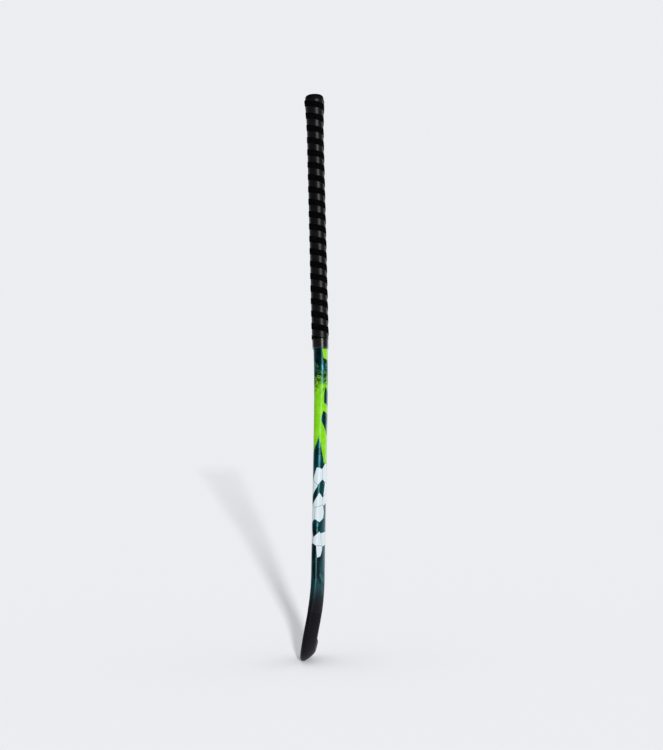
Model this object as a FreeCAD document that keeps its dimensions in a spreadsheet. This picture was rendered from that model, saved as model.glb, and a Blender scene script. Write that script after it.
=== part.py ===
"""Field hockey stick: moulded composite stick with a bow, a J-shaped head and a spirally bound grip.

Frame: +Z up along the handle, -X the way the flat playing face looks, +Y towards the toe.
The origin is the middle of the underside of the whole stick's bounding box. Millimetres.

The stick is described by cross-sections that stand square on one centre line. A cross-section
has a flat playing face, a rounded back and four corners. Each inner piece uses the same
cross-sections, drawn inwards by the walls around it, so the pieces nest at any size.
"""
import FreeCAD, Part
import Sketcher
import math
import os
from dataclasses import dataclass

from FreeCAD import Placement, Rotation, Vector

# Driving dimensions: alias, value (mm, or degrees for an angle), what it is.
DIMENSIONS = [
    ("total_length", 927.0, "lowest point of the head to the top of the end cap"),
    ("grip_length", 422.5, "lower edge of the finishing tape to the top of the end cap"),
    ("handle_width", 28.3, "bare handle, heel side to toe side"),
    ("handle_depth", 22.3, "bare handle, face side to back side"),
    ("straight_run", 5.0, "how far the handle runs straight below the grip"),
    ("waist_height", 330.0, "height of the slimmest part of the shaft"),
    ("waist_width", 40.0, "shaft width there"),
    ("waist_depth", 20.8, "shaft depth there"),
    ("waist_face_corner", 8.0, "length of a face corner there, along the width"),
    ("waist_face_round", 7.0, "depth of a face corner there"),
    ("waist_back_flat", 12.0, "flat in the middle of the back there, along the width"),
    ("neck_height", 135.0, "height where the bend to the head starts"),
    ("neck_width", 45.0, "shaft width there"),
    ("neck_depth", 21.0, "shaft depth there"),
    ("neck_face_corner", 6.5, "length of a face corner there, along the width"),
    ("neck_face_round", 6.0, "depth of a face corner there"),
    ("neck_back_flat", 10.0, "flat in the middle of the back there, along the width"),
    ("head_width", 46.0, "width of the head across its curve"),
    ("head_depth", 22.4, "depth of the head, face to back"),
    ("head_face_corner", 5.5, "length of a face corner of the head, along the width"),
    ("head_face_round", 5.0, "depth of a face corner of the head"),
    ("head_back_flat", 7.0, "flat in the middle of the head's back, along the width"),
    ("hook_radius", 41.0, "radius of the head's centre line"),
    ("hook_angle", 125.0, "how far the head turns before its round toe"),
    ("bow_height", 400.0, "height where the upper bow ends"),
    ("bow_lean", 2.3, "lean of the centre line at that height"),
    ("neck_lean", 2.4, "lean of the centre line at the neck"),
    ("head_lean", 12.7, "lean of the playing face of the head"),
    ("shell_wall", 2.4, "wall of the outer laminate shell"),
    ("head_lining", 1.2, "thickness of the reinforcement inside the head"),
    ("tube_wall", 1.2, "wall of each of the two inner tubes"),
    ("bridge_radius", 2.6, "corner radius of an inner tube where it meets the other one"),
    ("film_thickness", 0.25, "printed film and its lacquer"),
    ("film_bottom", 78.0, "height of the film's lower edge"),
    ("plug_length", 42.0, "butt plug"),
    ("plug_chamfer", 1.5, "lead-in chamfer of the butt plug"),
    ("cap_height", 10.0, "visible height of the end cap"),
    ("cap_roof", 5.0, "end cap above the shell's end"),
    ("cap_wall", 3.95, "end cap around the shell's end"),
    ("cap_round", 6.4, "rounding of the end cap's top edge"),
    ("cap_clearance", 0.1, "between the shell's end and the end cap"),
    ("underlay_thickness", 1.05, "cushion sleeve under the grip"),
    ("tape_thickness", 0.25, "double-sided tape under the strip"),
    ("strip_thickness", 0.85, "smooth base strip of the grip"),
    ("band_thickness", 0.7, "raised band of the grip, above the strip"),
    ("band_width", 10.3, "raised band, measured along the handle"),
    ("strip_pitch", 20.6, "distance from turn to turn of the strip"),
    ("strip_start", 903.0, "height of the raised band's middle on the back side, first turn"),
    ("seam_gap", 0.3, "between neighbouring turns of the base strip"),
    ("glue_line", 0.03, "glue under the base strip and under the raised band"),
    ("flare_depth", 2.9, "how far the grip flares out at the butt"),
    ("flare_length", 62.0, "length of the flare"),
    ("ring_setback", 7.5, "from the flare's start to the build-up ring's thin edge"),
    ("collar_height", 16.0, "finishing tape"),
    ("collar_thickness", 0.6, "finishing tape around the grip's end"),
    ("collar_lip", 0.8, "finishing tape turned in below the grip's end"),
]

ROUND = 0.551           # Bezier handle length that draws a quarter of an ellipse
WAIST_FULLNESS = 0.5    # Bezier handle length of the waist's back corners: lower is flatter
NECK_FULLNESS = 0.4     # the same at the neck
HEAD_FULLNESS = 0.27    # the same at the head
CURVE_POINTS = 40       # points looked at along one curve of a section
FILLER_REACH = 0.7      # share of the inner tubes' corner that a gap filler's tips reach
FILLER_ARCS = 2         # arcs that draw each hollow side of a gap filler
SLICES = 5              # cross-sections from one station of the shaft to the next
FLARE_SLICES = 10       # cross-sections along the flare
POINTS_PER_TURN = 36    # points that one turn of the grip's spiral is drawn through
STRIP_TIP = 1.0         # width that the strip's cut ends taper to
FIRST_ROUND = 10.0      # a slot sketch's round ends before its constraints size them
FIRST_FLAT = 3.0        # and half its flats
LEVEL = 1e-4            # edges closer than this to a height lie at it
OVERSIZE = 1.0          # what a cutting solid stands out by
CUTTER = 1500.0         # edge of a cutting block, larger than the stick

doc = FreeCAD.newDocument("field_hockey_stick")
sheet = doc.addObject("Spreadsheet::Sheet", "sizes")


def fill_sheet():
    """Write every driving dimension into the spreadsheet under its alias."""
    for row, (alias, value, note) in enumerate(DIMENSIONS, start=1):
        sheet.set(f"A{row}", note)
        sheet.set(f"B{row}", str(value))
        sheet.setAlias(f"B{row}", alias)
    doc.recompute()


def size(alias):
    """A driving dimension, read back from the spreadsheet."""
    return float(sheet.get(alias))


fill_sheet()

# Heights that follow from the driving dimensions.
GRIP_BOTTOM = size("total_length") - size("grip_length")
GRIP_TOP = size("total_length") - size("cap_height")
SHELL_TOP = size("total_length") - size("cap_roof")
TUBE_TOP = SHELL_TOP - size("plug_length")
LAYER_BOTTOM = GRIP_BOTTOM + size("collar_lip")
COLLAR_TOP = GRIP_BOTTOM + size("collar_height")
HANDLE_BOTTOM = GRIP_BOTTOM - size("straight_run")

# The handle is a slot shape: two half rounds joined by short flats.
HANDLE_ROUND = size("handle_depth") / 2
HANDLE_FLAT = (size("handle_width") - size("handle_depth")) / 2


# ---- cross-sections ---------------------------------------------------------------------------

@dataclass
class Section:
    """A cross-section: u runs from the heel side to the toe side, v from the face to the back."""
    width: float
    depth: float
    face_corner: float      # length of a face corner along u
    face_round: float       # depth of a face corner along v
    back_corner: float      # length of a back corner along u
    back_fullness: float    # Bezier handle length of a back corner: lower is flatter

    def inset(self, wall):
        """The same section, drawn inwards by a wall."""
        return Section(self.width - 2 * wall, self.depth - 2 * wall, self.face_corner - wall,
                       self.face_round - wall, self.back_corner - wall, self.back_fullness)

    def blend(self, other, share):
        """The section a share of the way towards another, with an even start and end."""
        ease = share * share * (3 - 2 * share)
        values = [a + (b - a) * ease for a, b in zip(vars(self).values(), vars(other).values())]
        return Section(*values)

    def side(self, way, start, corner):
        """Curves of one side from the face to the back, each as its (u, v) poles.

        way is 1 on the toe side and -1 on the heel side; start is where the flats begin."""
        face, back = -self.depth / 2, self.depth / 2
        edge = self.width / 2
        face_flat, back_flat = edge - self.face_corner, edge - self.back_corner
        shoulder = face + self.face_round
        run = [
            [(start + corner, face), (face_flat, face)],
            [(face_flat, face), (face_flat + ROUND * self.face_corner, face),
             (edge, shoulder - ROUND * self.face_round), (edge, shoulder)],
            [(edge, shoulder), (edge, shoulder + self.back_fullness * (back - shoulder)),
             (back_flat + self.back_fullness * self.back_corner, back), (back_flat, back)],
            [(back_flat, back), (start + corner, back)],
        ]
        return [[(way * u, v) for u, v in poles] for poles in run]


def sized_section(name, fullness):
    """The cross-section whose sizes stand in the spreadsheet under a name."""
    width = size(f"{name}_width")
    back_corner = (width - size(f"{name}_back_flat")) / 2
    return Section(width, size(f"{name}_depth"), size(f"{name}_face_corner"),
                   size(f"{name}_face_round"), back_corner, fullness)


HANDLE = Section(size("handle_width"), size("handle_depth"),
                 HANDLE_ROUND, HANDLE_ROUND, HANDLE_ROUND, ROUND)
WAIST = sized_section("waist", WAIST_FULLNESS)
NECK = sized_section("neck", NECK_FULLNESS)
HEAD = sized_section("head", HEAD_FULLNESS)


def curve_points(poles):
    """Points along one curve of a section, as (u, v)."""
    curve = Part.BezierCurve()
    curve.setPoles([Vector(u, v, 0) for u, v in poles])
    points = [curve.value(i / CURVE_POINTS) for i in range(CURVE_POINTS + 1)]
    return [(point.x, point.y) for point in points]


def head_top():
    """Height where the bend to the head ends, so that the head's lowest point is at zero."""
    lean = math.radians(size("head_lean"))
    drops = []
    for poles in HEAD.side(1, 0, 0):
        for u, v in curve_points(poles):
            drops.append((size("hook_radius") + u) * math.cos(lean) + v * math.sin(lean))
    return max(drops)


HEAD_TOP = head_top()
STATIONS = [(HANDLE_BOTTOM, HANDLE, 0.0),
            (size("waist_height"), WAIST, None),
            (size("neck_height"), NECK, size("neck_lean")),
            (HEAD_TOP, HEAD, size("head_lean"))]


def bow_knots():
    """Heights and slopes of the centre line's joints, from the handle down to the head."""
    upper = (size("bow_height"), math.tan(math.radians(size("bow_lean"))))
    knots = [(height, math.tan(math.radians(lean)))
             for height, _, lean in STATIONS if lean is not None]
    return [knots[0], upper] + knots[1:]


def centre_line(height):
    """Where the centre line is at a height, and its lean in degrees.

    The slope changes evenly from knot to knot, so the line is a chain of shallow arcs."""
    x = 0.0
    slope = 0.0
    knots = bow_knots()
    for (high, steep_high), (low, steep_low) in zip(knots, knots[1:]):
        stop = max(min(height, high), low)
        share = (high - stop) / (high - low)
        slope_here = steep_high + (steep_low - steep_high) * share
        x -= (steep_high + slope_here) / 2 * (high - stop)
        if height < high:
            slope = slope_here
    return Vector(x, 0, height), math.degrees(math.atan(slope))


def across(height):
    """Centre, u direction and v direction of the cross-section at a height."""
    centre, lean = centre_line(height)
    turn = math.radians(lean)
    return centre, Vector(0, 1, 0), Vector(math.cos(turn), 0, -math.sin(turn))


def section_at(height):
    """The cross-section's own sizes at a height."""
    if height >= STATIONS[0][0]:
        return HANDLE
    for (high, upper, _), (low, lower, _) in zip(STATIONS, STATIONS[1:]):
        if height >= low:
            return upper.blend(lower, (high - height) / (high - low))
    return HEAD


def slices():
    """Heights of the cross-sections that the shaft is drawn through."""
    heights = [STATIONS[0][0]]
    for (high, _, _), (low, _, _) in zip(STATIONS, STATIONS[1:]):
        heights += [high + (low - high) * i / SLICES for i in range(1, SLICES + 1)]
    return heights


def edge_of(poles, height):
    """One curve of a cross-section, in its place on the stick."""
    centre, along_u, along_v = across(height)
    places = [centre + along_u * u + along_v * v for u, v in poles]
    if len(places) == 2:
        return Part.LineSegment(*places).toShape()
    curve = Part.BezierCurve()
    curve.setPoles(places)
    return curve.toShape()


def full_outline(height, wall):
    """The whole cross-section at a height, inside a wall."""
    section = section_at(height).inset(wall)
    toe_side = section.side(1, 0, 0)
    heel_side = section.side(-1, 0, 0)
    face_line = [heel_side[0][1], toe_side[0][1]]
    back_line = [toe_side[3][0], heel_side[3][0]]
    heel_up = [poles[::-1] for poles in heel_side[2:0:-1]]
    run = [face_line] + toe_side[1:3] + [back_line] + heel_up
    return Part.Wire([edge_of(poles, height) for poles in run])


def side_outline(height, wall, way, web):
    """Half of the cross-section at a height, inside a wall and beside a middle web.

    The two corners at the web are rounded by what the bridge radius leaves inside the web."""
    section = section_at(height).inset(wall)
    corner = size("bridge_radius") - web
    face, back = -section.depth / 2, section.depth / 2
    pull = ROUND * corner
    handle = corner - pull
    near = way * web
    out = way
    run = section.side(way, web, corner)
    run.append([(near + out * corner, back), (near + out * handle, back),
                (near, back - handle), (near, back - corner)])
    run.append([(near, back - corner), (near, face + corner)])
    run.append([(near, face + corner), (near, face + handle),
                (near + out * handle, face), (near + out * corner, face)])
    return Part.Wire([edge_of(poles, height) for poles in run])


def filler_outline(height, toward_back):
    """The small three-cornered space between the two inner tubes and the shell, tips cut off."""
    depth = section_at(height).inset(size("shell_wall")).depth
    corner = size("bridge_radius")
    half = FILLER_REACH * corner
    first = math.asin(1 - FILLER_REACH)
    turns = [first + (math.pi / 2 - 2 * first) * i / (2 * FILLER_ARCS)
             for i in range(2 * FILLER_ARCS + 1)]
    hollow = [(corner * (1 - math.sin(turn)), corner * (1 - math.cos(turn))) for turn in turns]
    flip = 1 if toward_back else -1

    def place(u, rise):
        centre, along_u, along_v = across(height)
        return centre + along_u * u + along_v * (flip * (depth / 2 - rise))

    toe_side = [place(u, rise) for u, rise in hollow]
    heel_side = [place(-u, rise) for u, rise in hollow[::-1]]
    edges = [Part.LineSegment(place(-half, 0), place(half, 0)),
             Part.LineSegment(place(half, 0), toe_side[0])]
    edges += [Part.Arc(*toe_side[i:i + 3]) for i in range(0, 2 * FILLER_ARCS, 2)]
    edges.append(Part.LineSegment(toe_side[-1], heel_side[0]))
    edges += [Part.Arc(*heel_side[i:i + 3]) for i in range(0, 2 * FILLER_ARCS, 2)]
    edges.append(Part.LineSegment(heel_side[-1], place(-half, 0)))
    return Part.Wire([edge.toShape() for edge in edges])


# ---- solids drawn through the cross-sections --------------------------------------------------

def shaft_solid(outline, top):
    """A solid from the head's start up to a height on the straight handle.

    outline gives the wire of the cross-section at a height."""
    shaft = Part.makeLoft([outline(height) for height in slices()], True)
    handle_face = Part.Face(outline(HANDLE_BOTTOM))
    handle = handle_face.extrude(Vector(0, 0, top - HANDLE_BOTTOM))
    return shaft.fuse(handle)


def head_solid(wall):
    """The head inside a wall: the section swung through the hook, then round the toe."""
    centre, along_u, along_v = across(HEAD_TOP)
    pivot = centre + along_u * size("hook_radius")
    hook = Part.Face(full_outline(HEAD_TOP, wall)).revolve(pivot, along_v, size("hook_angle"))

    section = HEAD.inset(wall)
    run = section.side(-1, 0, 0)
    run.append([(0, section.depth / 2), (0, -section.depth / 2)])
    half = Part.Face(Part.Wire([edge_of(poles, HEAD_TOP) for poles in run]))
    half.rotate(pivot, along_v, size("hook_angle"))
    swing = Rotation(along_v, size("hook_angle"))
    toe_centre = pivot + swing.multVec(centre - pivot)
    toe = half.revolve(toe_centre, along_v, 180)
    return hook.fuse(toe)


def stick_solid(wall, top):
    """The whole stick inside a wall, from the toe up to a height."""
    shaft = shaft_solid(lambda height: full_outline(height, wall), top)
    return shaft.fuse(head_solid(wall)).removeSplitter()


def cutting_block(height, above):
    """A large block above or below the plane that stands square on the centre line."""
    centre, lean = centre_line(height)
    start = 0 if above else -CUTTER
    block = Part.makeBox(CUTTER, CUTTER, CUTTER, Vector(-CUTTER / 2, -CUTTER / 2, start))
    block.Placement = Placement(centre, Rotation(Vector(0, 1, 0), lean))
    return block


def between(solid, low=None, high=None):
    """What a solid holds between two heights."""
    if high is not None:
        solid = solid.cut(cutting_block(high, True))
    if low is not None:
        solid = solid.cut(cutting_block(low, False))
    return solid


# ---- the moulded stick ------------------------------------------------------------------------

def outer_shell():
    """Laminate shell of shaft and head, open at the butt."""
    return stick_solid(0, SHELL_TOP).cut(stick_solid(size("shell_wall"), SHELL_TOP + OVERSIZE))


def graphic_film():
    """Printed film and lacquer around the bare shaft."""
    film = -size("film_thickness")
    outside = shaft_solid(lambda height: full_outline(height, film), GRIP_BOTTOM)
    inside = shaft_solid(lambda height: full_outline(height, 0), GRIP_BOTTOM + OVERSIZE)
    return between(outside.cut(inside), low=size("film_bottom"))


def head_reinforcement():
    """Tough fibre lining between the shell and the core of the head."""
    outside = stick_solid(size("shell_wall"), SHELL_TOP)
    inside = stick_solid(size("shell_wall") + size("head_lining"), SHELL_TOP)
    return between(outside.cut(inside), high=size("neck_height"))


def head_core():
    """Solid core that fills the head up to the neck."""
    core = stick_solid(size("shell_wall") + size("head_lining"), SHELL_TOP)
    return between(core, high=size("neck_height"))


def foam_rod(way):
    """Foam that fills one inner tube."""
    wall = size("shell_wall") + size("tube_wall")
    rod = shaft_solid(lambda height: side_outline(height, wall, way, size("tube_wall")), TUBE_TOP)
    return between(rod, low=size("neck_height"))


def core_tube(way):
    """One of the two inner laminate tubes, side by side in the shaft."""
    wall = size("shell_wall") + size("tube_wall")
    outside = shaft_solid(lambda height: side_outline(height, size("shell_wall"), way, 0), TUBE_TOP)
    inside = shaft_solid(lambda height: side_outline(height, wall, way, size("tube_wall")),
                         TUBE_TOP + OVERSIZE)
    return between(outside.cut(inside), low=size("neck_height"))


def gap_filler(toward_back):
    """Roving that fills the corner between both inner tubes and the shell."""
    filler = shaft_solid(lambda height: filler_outline(height, toward_back), TUBE_TOP)
    return between(filler, low=size("neck_height"))


# ---- the grip ---------------------------------------------------------------------------------

def flare(height):
    """How far the grip stands out at a height because of the flare at the butt."""
    start = GRIP_TOP - size("flare_length")
    share = (height - start) / size("flare_length")
    return size("flare_depth") * min(max(share, 0.0), 1.0) ** 2


def slot_wire(height, radius):
    """The handle's slot shape at a height, with round ends of a radius."""
    corners = [Vector(radius, -HANDLE_FLAT, height), Vector(radius, HANDLE_FLAT, height),
               Vector(-radius, HANDLE_FLAT, height), Vector(-radius, -HANDLE_FLAT, height)]
    toe_end = Vector(0, HANDLE_FLAT + radius, height)
    heel_end = Vector(0, -HANDLE_FLAT - radius, height)
    edges = [Part.LineSegment(corners[0], corners[1]), Part.Arc(corners[1], toe_end, corners[2]),
             Part.LineSegment(corners[2], corners[3]), Part.Arc(corners[3], heel_end, corners[0])]
    return Part.Wire([edge.toShape() for edge in edges])


def flare_heights():
    """Heights of the cross-sections along the flare, from its start to the grip's top."""
    start = GRIP_TOP - size("flare_length")
    step = size("flare_length") / FLARE_SLICES
    return [start + step * i for i in range(FLARE_SLICES + 1)]


def flared_solid(radius, bottom):
    """A slot-shaped solid around the handle that follows the flare up to the grip's top."""
    heights = flare_heights()
    flared = Part.makeLoft([slot_wire(z, radius + flare(z)) for z in heights], True, True)
    if bottom >= heights[0]:
        return flared
    straight = Part.Face(slot_wire(bottom, radius)).extrude(Vector(0, 0, heights[0] - bottom))
    return straight.fuse(flared)


def underlay_radius():
    """Radius of the cushion underlay's round ends."""
    return HANDLE_ROUND + size("underlay_thickness")


def tape_radius():
    """Radius of the double-sided tape's round ends."""
    return underlay_radius() + size("tape_thickness")


def flare_ring():
    """Tapered build-up ring that gives the butt its flare."""
    straight = Part.Face(slot_wire(LAYER_BOTTOM, underlay_radius()))
    inside = straight.extrude(Vector(0, 0, GRIP_TOP - LAYER_BOTTOM + OVERSIZE))
    start = GRIP_TOP - size("flare_length") + size("ring_setback")
    return between(flared_solid(underlay_radius(), LAYER_BOTTOM).cut(inside), low=start)


def double_sided_tape():
    """Adhesive tape between the underlay and the strip."""
    outside = flared_solid(tape_radius(), LAYER_BOTTOM)
    return outside.cut(flared_solid(underlay_radius(), LAYER_BOTTOM))


def round_trip():
    """The way once round the handle, outside the tape."""
    return 2 * math.pi * tape_radius() + 4 * HANDLE_FLAT


def around(share):
    """Where the handle's skin is after a share of a turn that starts on the back side.

    Gives the outward normal and the y of the round end's centre, or of the point on a flat."""
    half_trip = round_trip() / 2
    travelled = (share % 1.0) * round_trip()
    end = 1 if travelled < half_trip else -1
    along = travelled % half_trip
    angle = min(along / tape_radius(), math.pi)
    on_flat = max(along - math.pi * tape_radius(), 0.0)
    return end * math.cos(angle), end * math.sin(angle), end * (HANDLE_FLAT - on_flat)


def spiral_edge(radius, start, end, height_at):
    """A spiral round the handle that follows the flare, from one share of a turn to another."""
    def place(share):
        x, y, centre = around(share)
        height = height_at(share)
        reach = radius + flare(height)
        return Vector(reach * x, centre + reach * y, height)

    count = max(3, math.ceil((end - start) * POINTS_PER_TURN))
    curve = Part.BSplineCurve()
    curve.interpolate([place(start + (end - start) * i / count) for i in range(count + 1)])
    return curve.toShape()


def wound_strip(inner, thickness, width, middle):
    """A strip wound down round the handle, from the back by the toe side to the face.

    Its ends are cut off level with the grip's top and with the collar. middle is the height of
    its middle where the first turn starts."""
    pitch = size("strip_pitch")
    starts = (middle - width / 2 - GRIP_TOP + STRIP_TIP) / pitch
    whole_from = (middle + width / 2 - GRIP_TOP) / pitch
    whole_to = (middle - width / 2 - COLLAR_TOP) / pitch
    ends = (middle + width / 2 - COLLAR_TOP - STRIP_TIP) / pitch
    turns = math.ceil(whole_to - whole_from)
    breaks = [whole_from + (whole_to - whole_from) * i / turns for i in range(turns + 1)]
    breaks = [starts] + breaks + [ends]

    def upper(share):
        return min(middle + width / 2 - pitch * share, GRIP_TOP)

    def lower(share):
        return max(middle - width / 2 - pitch * share, COLLAR_TOP)

    faces = []
    for start, end in zip(breaks, breaks[1:]):
        rims = [spiral_edge(radius, start, end, height_at)
                for radius, height_at in ((inner, lower), (inner + thickness, lower),
                                          (inner + thickness, upper), (inner, upper))]
        faces += [Part.makeRuledSurface(rims[i], rims[(i + 1) % 4]) for i in range(4)]
        if start == breaks[0]:
            faces.append(end_face([rim.Vertexes[0].Point for rim in rims]))
        if end == breaks[-1]:
            faces.append(end_face([rim.Vertexes[1].Point for rim in rims]))
    skin = Part.makeShell(faces)
    skin.sewShape()
    strip = Part.makeSolid(Part.Shell(skin.Faces))
    if strip.Volume < 0:
        strip.reverse()
    return strip


def end_face(corners):
    """The flat end of a strip."""
    return Part.Face(Part.makePolygon(corners + corners[:1]))


def grip_base_strip():
    """Smooth strip wound edge to edge, its seam hidden below the raised band."""
    return wound_strip(tape_radius() + size("glue_line"), size("strip_thickness"),
                       size("strip_pitch") - size("seam_gap"),
                       size("strip_start") - size("strip_pitch") / 2)


def grip_raised_band():
    """Suede-like band that stands up from the base strip."""
    strip_radius = tape_radius() + size("strip_thickness") + 2 * size("glue_line")
    return wound_strip(strip_radius, size("band_thickness"), size("band_width"),
                       size("strip_start"))


# ---- bodies made from sketches ----------------------------------------------------------------

ROUND_END = "sizes.handle_depth / 2"
FLAT_HALF = "(sizes.handle_width - sizes.handle_depth) / 2"


def slot_sketch(body, name, height, radii):
    """A sketch on the body's ground plane with one slot shape for each radius.

    height and radii are expressions on the spreadsheet."""
    sketch = body.newObject("Sketcher::SketchObject", name)
    ground = next(plane for plane in body.Origin.OriginFeatures if plane.Role == "XY_Plane")
    sketch.AttachmentSupport = [(ground, "")]
    sketch.MapMode = "FlatFace"
    sketch.setExpression("AttachmentOffset.Base.z", height)
    for number, radius in enumerate(radii):
        add_slot(sketch, f"radius_{number}", f"flat_{number}", radius)
    return sketch


def add_slot(sketch, radius_name, flat_name, radius):
    """Two half rounds and two flats, held tangent and bound to the spreadsheet."""
    reach, flat = FIRST_ROUND, FIRST_FLAT
    toe_circle = Part.Circle(Vector(0, flat, 0), Vector(0, 0, 1), reach)
    heel_circle = Part.Circle(Vector(0, -flat, 0), Vector(0, 0, 1), reach)
    toe = sketch.addGeometry(Part.ArcOfCircle(toe_circle, 0, math.pi))
    heel = sketch.addGeometry(Part.ArcOfCircle(heel_circle, math.pi, 2 * math.pi))
    face = sketch.addGeometry(Part.LineSegment(Vector(-reach, flat, 0), Vector(-reach, -flat, 0)))
    back = sketch.addGeometry(Part.LineSegment(Vector(reach, -flat, 0), Vector(reach, flat, 0)))
    for first, first_end, second, second_end in ((toe, 2, face, 1), (face, 2, heel, 1),
                                                 (heel, 2, back, 1), (back, 2, toe, 1)):
        sketch.addConstraint(Sketcher.Constraint("Tangent", first, first_end, second, second_end))
    sketch.addConstraint(Sketcher.Constraint("Equal", toe, heel))
    sketch.addConstraint(Sketcher.Constraint("PointOnObject", toe, 3, -2))
    sketch.addConstraint(Sketcher.Constraint("Symmetric", toe, 3, heel, 3, -1, 1))
    round_index = sketch.addConstraint(Sketcher.Constraint("Radius", toe, reach))
    sketch.renameConstraint(round_index, radius_name)
    sketch.setExpression(f"Constraints.{radius_name}", radius)
    flat_index = sketch.addConstraint(Sketcher.Constraint("DistanceY", -1, 1, toe, 3, 3))
    sketch.renameConstraint(flat_index, flat_name)
    sketch.setExpression(f"Constraints.{flat_name}", FLAT_HALF)


def pad(body, sketch, name, length):
    """A pad upwards from a sketch, its length an expression."""
    feature = body.newObject("PartDesign::Pad", name)
    feature.Profile = sketch
    feature.setExpression("Length", length)
    sketch.Visibility = False
    doc.recompute()
    return feature


def edges_at(feature, height):
    """Names of a feature's edges that lie level at a height."""
    found = []
    for number, edge in enumerate(feature.Shape.Edges, start=1):
        box = edge.BoundBox
        if abs(box.ZMin - height) < LEVEL and abs(box.ZMax - height) < LEVEL:
            found.append(f"Edge{number}")
    return found


def butt_plug():
    """Plug that closes the butt and takes the end cap's glue."""
    body = doc.addObject("PartDesign::Body", "plug_body")
    bottom = "sizes.total_length - sizes.cap_roof - sizes.plug_length"
    outline = slot_sketch(body, "plug_outline", bottom, [f"{ROUND_END} - sizes.shell_wall"])
    block = pad(body, outline, "plug_pad", "sizes.plug_length")
    lead_in = body.newObject("PartDesign::Chamfer", "plug_lead_in")
    lead_in.Base = (block, edges_at(block, TUBE_TOP))
    lead_in.setExpression("Size", "sizes.plug_chamfer")
    return body


def cushion_underlay():
    """Cushion sleeve over the bare handle."""
    body = doc.addObject("PartDesign::Body", "underlay_body")
    bottom = "sizes.total_length - sizes.grip_length + sizes.collar_lip"
    outline = slot_sketch(body, "underlay_outline", bottom,
                          [ROUND_END, f"{ROUND_END} + sizes.underlay_thickness"])
    pad(body, outline, "underlay_pad", "sizes.grip_length - sizes.collar_lip - sizes.cap_height")
    return body


def finishing_tape():
    """Glossy tape round the grip's lower end, turned in against the shaft."""
    body = doc.addObject("PartDesign::Body", "finishing_tape_body")
    inside = f"{ROUND_END} + sizes.underlay_thickness + sizes.tape_thickness"
    outside = f"{inside} + sizes.collar_thickness"
    lip_bottom = "sizes.total_length - sizes.grip_length"
    lip = slot_sketch(body, "lip_outline", lip_bottom, [ROUND_END, outside])
    pad(body, lip, "lip_pad", "sizes.collar_lip")
    wall = slot_sketch(body, "wall_outline", f"{lip_bottom} + sizes.collar_lip", [inside, outside])
    pad(body, wall, "wall_pad", "sizes.collar_height - sizes.collar_lip")
    return body


def end_cap():
    """Moulded rubber cap over the shell's end, resting on the grip's layers."""
    body = doc.addObject("PartDesign::Body", "cap_body")
    bottom = "sizes.total_length - sizes.cap_height"
    inside = f"{ROUND_END} + sizes.cap_clearance"
    outline = slot_sketch(body, "cap_outline", bottom, [f"{inside} + sizes.cap_wall"])
    dome = pad(body, outline, "cap_pad", "sizes.cap_height")
    crown = body.newObject("PartDesign::Fillet", "cap_crown")
    crown.Base = (dome, edges_at(dome, size("total_length")))
    crown.setExpression("Radius", "sizes.cap_round")
    doc.recompute()
    solid_volume = crown.Shape.Volume
    cup = slot_sketch(body, "cup_outline", bottom, [inside])
    socket = body.newObject("PartDesign::Pocket", "cap_cup")
    socket.Profile = cup
    socket.setExpression("Length", "sizes.cap_height - sizes.cap_roof")
    socket.Reversed = True
    cup.Visibility = False
    doc.recompute()
    if socket.Shape.Volume >= solid_volume:
        raise RuntimeError("the end cap's cup cuts nothing")
    return body


# ---- assembly ---------------------------------------------------------------------------------

def feature(shape):
    """A document object that holds a shape made from the spreadsheet's sizes."""
    item = doc.addObject("Part::Feature", "piece")
    if len(shape.Solids) == 1:
        shape = shape.Solids[0]
    item.Shape = shape
    return item


def build_pieces():
    """Every piece of the stick, by the name of its node."""
    return {
        "outer_shell": feature(outer_shell()),
        "graphic_film": feature(graphic_film()),
        "head_reinforcement": feature(head_reinforcement()),
        "head_core": feature(head_core()),
        "heel_core_tube": feature(core_tube(-1)),
        "toe_core_tube": feature(core_tube(1)),
        "heel_foam_rod": feature(foam_rod(-1)),
        "toe_foam_rod": feature(foam_rod(1)),
        "face_gap_filler": feature(gap_filler(False)),
        "back_gap_filler": feature(gap_filler(True)),
        "butt_plug": butt_plug(),
        "cushion_underlay": cushion_underlay(),
        "flare_ring": feature(flare_ring()),
        "double_sided_tape": feature(double_sided_tape()),
        "grip_base_strip": feature(grip_base_strip()),
        "grip_raised_band": feature(grip_raised_band()),
        "finishing_tape": finishing_tape(),
        "end_cap": end_cap(),
    }


def settle(pieces):
    """Label the pieces and move them together onto the row's origin."""
    whole = FreeCAD.BoundBox()
    for piece in pieces.values():
        whole.add(piece.Shape.optimalBoundingBox(False))
    shift = Vector(-(whole.XMin + whole.XMax) / 2, -(whole.YMin + whole.YMax) / 2, -whole.ZMin)
    for name, piece in pieces.items():
        piece.Label = name
        piece.Placement = Placement(shift, Rotation())
    doc.recompute()
    return shift


def check(pieces):
    """Stop on any object that failed and on any piece that isn't one valid solid."""
    for item in doc.Objects:
        if {"Invalid", "Error"} & set(item.State):
            raise RuntimeError(f"{item.Label} failed: {item.State}")
    for name, piece in pieces.items():
        shape = piece.Shape
        if shape.isNull() or not shape.isValid() or len(shape.Solids) != 1:
            raise RuntimeError(f"{name} isn't one valid solid")


def export(pieces):
    """Write each piece to its own STEP file."""
    os.makedirs("parts", exist_ok=True)
    for name, piece in pieces.items():
        piece.Shape.exportStep(f"parts/{name}.step")
        print(f"{name}: {piece.Shape.Volume / 1000:.2f} cm3")


doc.recompute()
PIECES = build_pieces()
doc.recompute()
SHIFT = settle(PIECES)
check(PIECES)
export(PIECES)
print("shift", SHIFT)
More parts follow.
